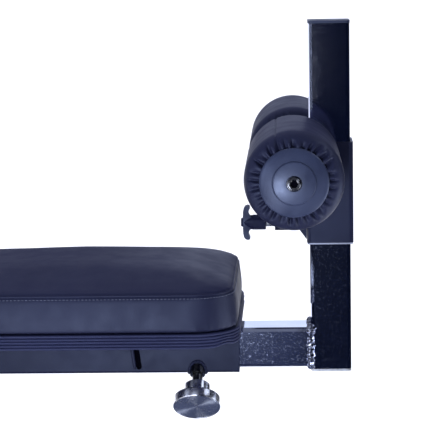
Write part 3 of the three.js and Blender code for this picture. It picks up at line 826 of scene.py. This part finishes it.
# ---- base and backrest frame ----------------------------------------------------------------------
def wheel(side_name, side):
    low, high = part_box(f"wheel_{side_name}")
    centre = (low + high) / 2
    half = (high.y - low.y) / 2 / MM
    profile = [(6.5, -half + 2), (9, -half + 1.6), (11, -half + 2.6), (19, -half + 2.6), (21, -half + 0.6),
               (24, -half), (26.4, -half + 1.2), (27.6, -half + 3.4), (28, -half + 6), (27.4, -half + 6.6),
               (27.4, half - 6.6), (28, half - 6), (27.6, half - 3.4), (26.4, half - 1.2), (24, half),
               (21, half - 0.6), (19, half - 2.6), (11, half - 2.6), (9, half - 1.6), (6.5, half - 2),
               (6.5, -half + 2)]
    turned(f"roll_wheel_{side_name}", profile, centre, Y_AXIS * side, RUBBER, f"wheel_{side_name}_body",
           (f"wheel_{side_name}",))


def lift_handle():
    low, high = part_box("lift_handle")
    radius, turn = 9 * MM, 24 * MM
    z = (low.z + high.z) / 2
    half = high.y - radius * 0.95
    far = low.x + radius * 0.95
    path = [Vector((high.x, -half, z))]
    for cx, cy, start in ((far + turn, -half + turn, 270), (far + turn, half - turn, 180)):
        for i in range(11):
            angle = math.radians(start - 9 * i)
            path.append(Vector((cx + turn * math.cos(angle), cy + turn * math.sin(angle), z)))
    path.append(Vector((high.x, half, z)))
    swept("bent_handle", [(p, Z_AXIS) for p in path], [radius] * len(path), CHROME, "frame", ("lift_handle",),
          sides=28, closed=False)


def lock_knob():
    low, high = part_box("lock_knob")
    centre = Vector(((low.x + high.x) / 2, low.y, (low.z + high.z) / 2))

    def lobes(angle, radius, distance):
        grip = max(0.0, min(1.0, (radius - 11) / 5))
        return radius - grip * 1.3 * (0.5 + 0.5 * math.cos(8 * angle)) ** 2

    profile = [(6.5, 0), (10, 0), (10.4, 1), (11, 9), (13, 12), (16.2, 14), (16.9, 15.5), (17, 17), (17, 28),
               (16.6, 30.5), (15.2, 32.6), (12, 33.6), (6, 34), (0.05, 34)]
    turned("pull_knob", profile, centre, Y_AXIS, PLASTIC, "angle_lock", ("lock_knob",),
           segments=96, shape=lobes)


def frame_parts():
    painted = ("front_leg", "rear_leg", "front_foot", "rear_foot", "wheel_bracket_left",
               "wheel_bracket_right", "seat_angle_left", "seat_angle_right", "hinge_bracket",
               "back_rail_left", "back_rail_right", "back_cross_front", "back_cross_rear",
               "sector_plate", "hinge_arm", "main_beam")
    for node in painted:
        dress(node, PAINT, 0.6)
    for foot in ("front", "rear"):
        for side_name, _ in SIDES:
            dress(f"{foot}_foot_cap_{side_name}", RUBBER, 2.5)
    for prefix in ("seat", "back"):
        for i in range(4):
            dress(f"{prefix}_bolt_{i + 1}", STEEL, 0.5)
    dress("hinge_pin", STEEL, 0.8)
    dress("lock_pin", STEEL, 0.3)
    dress("lock_barrel", DARK_TURNED, 0.6)
    dress("beam_rear_cap", PLASTIC, 1.0)
    for side_name, side in SIDES:
        wheel(side_name, side)
    lift_handle()
    lock_knob()


# ---- stage ----------------------------------------------------------------------------------------
def area_light(name, place, target, size, power, colour=(1, 1, 1)):
    light = bpy.data.lights.new(name, "AREA")
    light.shape = "RECTANGLE"
    light.size, light.size_y = size
    light.energy = power
    light.color = colour
    lamp = bpy.data.objects.new(name, light)
    lamp.location = place
    lamp.rotation_euler = (Vector(target) - Vector(place)).to_track_quat("-Z", "Y").to_euler()
    lamp.visible_camera = False
    bpy.context.collection.objects.link(lamp)


def card(name, corners, material):
    """A flat card on the stage that only reflections see."""
    made = make(name, corners, [(0, 1, 2, 3)], material)
    made.visible_camera = made.visible_diffuse = made.visible_shadow = False


def stage():
    """A pale floor, soft lights, and dark cards for the plated tubes to reflect."""
    half = 60
    pale = Shader("pale_floor", Base_Color=(0.86, 0.86, 0.88, 1), Roughness=0.7).material
    floor = make("floor", [(-half, -half, 0), (half, -half, 0), (half, half, 0), (-half, half, 0)],
                 [(0, 1, 2, 3)], pale)
    black, blue, grey = (Shader(name, Base_Color=(*colour, 1), Roughness=1.0, Specular_IOR_Level=0.0).material
                         for name, colour in (("card_black", (0.002, 0.003, 0.008)),
                                              ("card_blue", (0.006, 0.009, 0.025)),
                                              ("card_grey", (0.05, 0.06, 0.10))))
    standing = {"post_card": ((0.655, -1.0), (0.95, -1.0), 0.02, 1.2, black),
                "tube_card": ((0.42, -1.0), (0.655, -1.0), 0.02, 0.36, blue),
                "right_card": ((0.95, -1.0), (1.7, 0.0), 0.02, 1.2, black),
                "far_right_card": ((1.7, 0.0), (1.2, 1.6), 0.02, 1.2, black),
                "left_card": ((-0.05, -1.0), (-0.9, -0.2), 0.02, 1.2, black)}
    for name, ((x1, y1), (x2, y2), z1, z2, material) in standing.items():
        card(name, [(x1, y1, z1), (x2, y2, z1), (x2, y2, z2), (x1, y1, z2)], material)
    z = 0.012
    lying = {"front_mat": (0.44, 0.95, -1.0, -0.22, blue), "under_mat": (0.1, 1.0, -0.22, 0.5, grey)}
    for name, (x1, x2, y1, y2, material) in lying.items():
        card(name, [(x1, y1, z), (x2, y1, z), (x2, y2, z), (x1, y2, z)], material)
    world = bpy.data.worlds.new("soft_room")
    bpy.context.scene.world = world
    world.use_nodes = True
    world.node_tree.nodes["Background"].inputs["Color"].default_value = (0.70, 0.76, 1.0, 1)
    world.node_tree.nodes["Background"].inputs["Strength"].default_value = 0.26
    sun = bpy.data.lights.new("sky", "SUN")
    sun.energy = 5.8
    sun.angle = math.radians(40)
    sun.color = (0.93, 0.94, 1.0)
    sky = bpy.data.objects.new("sky", sun)
    sky.visible_glossy = False
    sky.rotation_euler = (math.radians(-34), math.radians(-10), 0)
    bpy.context.collection.objects.link(sky)
    cool = (0.70, 0.78, 1.0)
    area_light("back_box", (0.60, 1.6, 0.72), (0.60, 0, 0.40), (0.5, 0.5), 0.8, cool)
    area_light("cap_box", (0.34, -1.5, 0.30), (0.63, 0, 0.55), (0.3, 0.3), 11, cool)
    area_light("top_box", (0.45, -0.7, 2.2), (0.5, 0, 0.3), (1.1, 0.9), 0.8, cool)
    area_light("knob_glint", (0.60, -0.08, 0.05), (0.513, -0.06, 0.29), (0.05, 0.05), 0.06, cool)
    area_light("right_front_box", (1.4, -0.15, 0.25), (0.57, -0.1, 0.42), (0.5, 0.4), 2.6, cool)
    area_light("right_high_box", (1.6, -0.1, 1.35), (0.52, -0.05, 0.29), (0.7, 0.7), 3.4, cool)
    area_light("right_back_box", (1.9, 1.2, 0.6), (0.55, 0, 0.4), (0.8, 1.2), 4.0, cool)
    area_light("left_strip", (-0.9, -1.5, 0.75), (0.5, 0, 0.45), (0.5, 1.0), 15, cool)


def camera():
    """The camera is placed from the post and the slide tube, at the photograph's viewing angle."""
    post_low, post_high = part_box("post_tube")
    tube_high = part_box("slide_tube")[1]
    place = Vector(((post_low.x + post_high.x) / 2 - 50.3 * MM, -2111 * MM, tube_high.z + 462.9 * MM))
    yaw, pitch, roll = math.radians(2.495), math.radians(-8.717), math.radians(1.039)
    level = Vector((-math.sin(yaw), math.cos(yaw), 0))
    ahead = math.cos(pitch) * level + math.sin(pitch) * Z_AXIS
    right = Vector((math.cos(yaw), math.sin(yaw), 0))
    up = right.cross(ahead)
    rolled_right = math.cos(roll) * right - math.sin(roll) * up
    rolled_up = math.cos(roll) * up + math.sin(roll) * right
    data = bpy.data.cameras.new("camera")
    data.lens = 143.9
    data.sensor_width = 36
    data.clip_end = 200
    view = bpy.data.objects.new("camera", data)
    turn = Matrix((rolled_right, rolled_up, -ahead)).transposed().to_4x4()
    view.matrix_world = Matrix.Translation(place) @ turn
    bpy.context.collection.objects.link(view)
    bpy.context.scene.camera = view


camera()
stage()
bpy.context.scene.view_settings.view_transform = "Standard"
frame_parts()
leg_hold()
clamp()
beam_slot_lip()
for prefix, body in (("seat", "frame"), ("back", "backrest")):
    ribbed_band(prefix, body)
    cushion(prefix, body)
